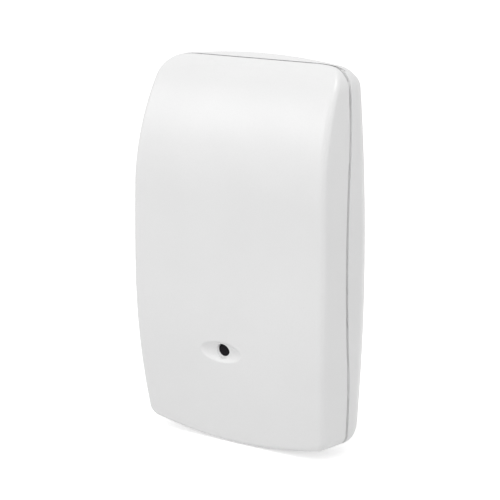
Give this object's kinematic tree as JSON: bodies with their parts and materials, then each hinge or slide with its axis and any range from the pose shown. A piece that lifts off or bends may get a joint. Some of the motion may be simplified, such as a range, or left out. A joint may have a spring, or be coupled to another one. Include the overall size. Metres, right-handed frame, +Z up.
{
  "type": "glass break sensor",
  "caption": "Wall-mounted acoustic glass break sensor: a bowed, curved-front off-white plastic housing with a hinged cover, a small dished sound port and its circuit board inside.",
  "frame": {"origin": "centre of the flat back that lies on the wall", "axes": "+Z up along the housing's height, the front faces -Y, +Y points into the wall, +X to the right seen from the front"},
  "size_m": [0.0614, 0.0201, 0.0986],
  "materials": {
    "housing": "fine satin moulded ABS, off-white",
    "housing_base": "fine satin moulded ABS, off-white, a shade greyer",
    "board": "glass-epoxy board under green solder mask",
    "zinc_steel": "zinc-plated steel screws",
    "terminal_plastic": "moulded polyamide, dark green",
    "nickel_brass": "nickel-plated brass",
    "black_plastic": "moulded polyamide, black",
    "ivory_plastic": "acetal, ivory",
    "switch_plastic": "moulded polyester, red",
    "slider_plastic": "acetal, white",
    "boot_rubber": "moulded silicone rubber, black",
    "capsule_aluminium": "drawn aluminium can",
    "black_felt": "acoustic felt, black",
    "chip_epoxy": "moulded epoxy package with tinned leads",
    "resistor_ceramic": "thick-film chip, black",
    "capacitor_ceramic": "ceramic chip, tan",
    "relay_plastic": "moulded polyester case, ivory",
    "can_aluminium": "aluminium can on a black base",
    "ferrite": "pressed ferrite, dark grey",
    "crystal_steel": "drawn nickel-plated can",
    "red_lens": "tinted epoxy, red",
    "amber_lens": "tinted epoxy, amber",
    "cap_plastic": "moulded nylon, blue"
  },
  "bodies": {
    "base": {"rear_base": "housing_base", "circuit_board": "board", "board_screws": "zinc_steel", "terminal_block_left": "terminal_plastic", "terminal_block_right": "terminal_plastic", "terminal_clamps": "nickel_brass", "terminal_screws": "zinc_steel", "tamper_switch": "black_plastic", "range_switch": "switch_plastic", "microphone_boot": "boot_rubber", "microphone_capsule": "capsule_aluminium", "microcontroller": "chip_epoxy", "amplifier_chip": "chip_epoxy", "voltage_regulator": "chip_epoxy", "chip_resistors": "resistor_ceramic", "chip_capacitors": "capacitor_ceramic", "alarm_relay": "relay_plastic", "filter_capacitors": "can_aluminium", "power_inductor": "ferrite", "timing_crystal": "crystal_steel", "surge_diodes": "chip_epoxy", "alarm_lamp": "red_lens", "trouble_lamp": "amber_lens", "jumper_header": "black_plastic", "jumper_cap": "cap_plastic"},
    "cover": {"front_cover": "housing", "microphone_felt": "black_felt"},
    "plunger": {"tamper_plunger": "ivory_plastic"},
    "slider_1": {"range_slider_1": "slider_plastic"},
    "slider_2": {"range_slider_2": "slider_plastic"},
    "slider_3": {"range_slider_3": "slider_plastic"},
    "slider_4": {"range_slider_4": "slider_plastic"}
  },
  "joints": [
    {"name": "cover_hinge", "type": "hinge", "parent": "base", "child": "cover", "pos_m": [0, -0.00901, 0.04548], "axis": [-1, 0, 0], "range_deg": [0, 21]},
    {"name": "tamper_press", "type": "slide", "parent": "base", "child": "plunger", "axis": [0, -1, 0], "range_m": [0, 0.0012]},
    {"name": "range_setting_1", "type": "slide", "parent": "base", "child": "slider_1", "axis": [0, 0, 1], "range_m": [0, 0.0019]},
    {"name": "range_setting_2", "type": "slide", "parent": "base", "child": "slider_2", "axis": [0, 0, 1], "range_m": [0, 0.0019]},
    {"name": "range_setting_3", "type": "slide", "parent": "base", "child": "slider_3", "axis": [0, 0, 1], "range_m": [0, 0.0019]},
    {"name": "range_setting_4", "type": "slide", "parent": "base", "child": "slider_4", "axis": [0, 0, 1], "range_m": [0, 0.0019]}
  ],
  "couplings": [
    {"joint": "tamper_press", "follows": "cover_hinge", "m_per_rad": 0.00327}
  ]
}
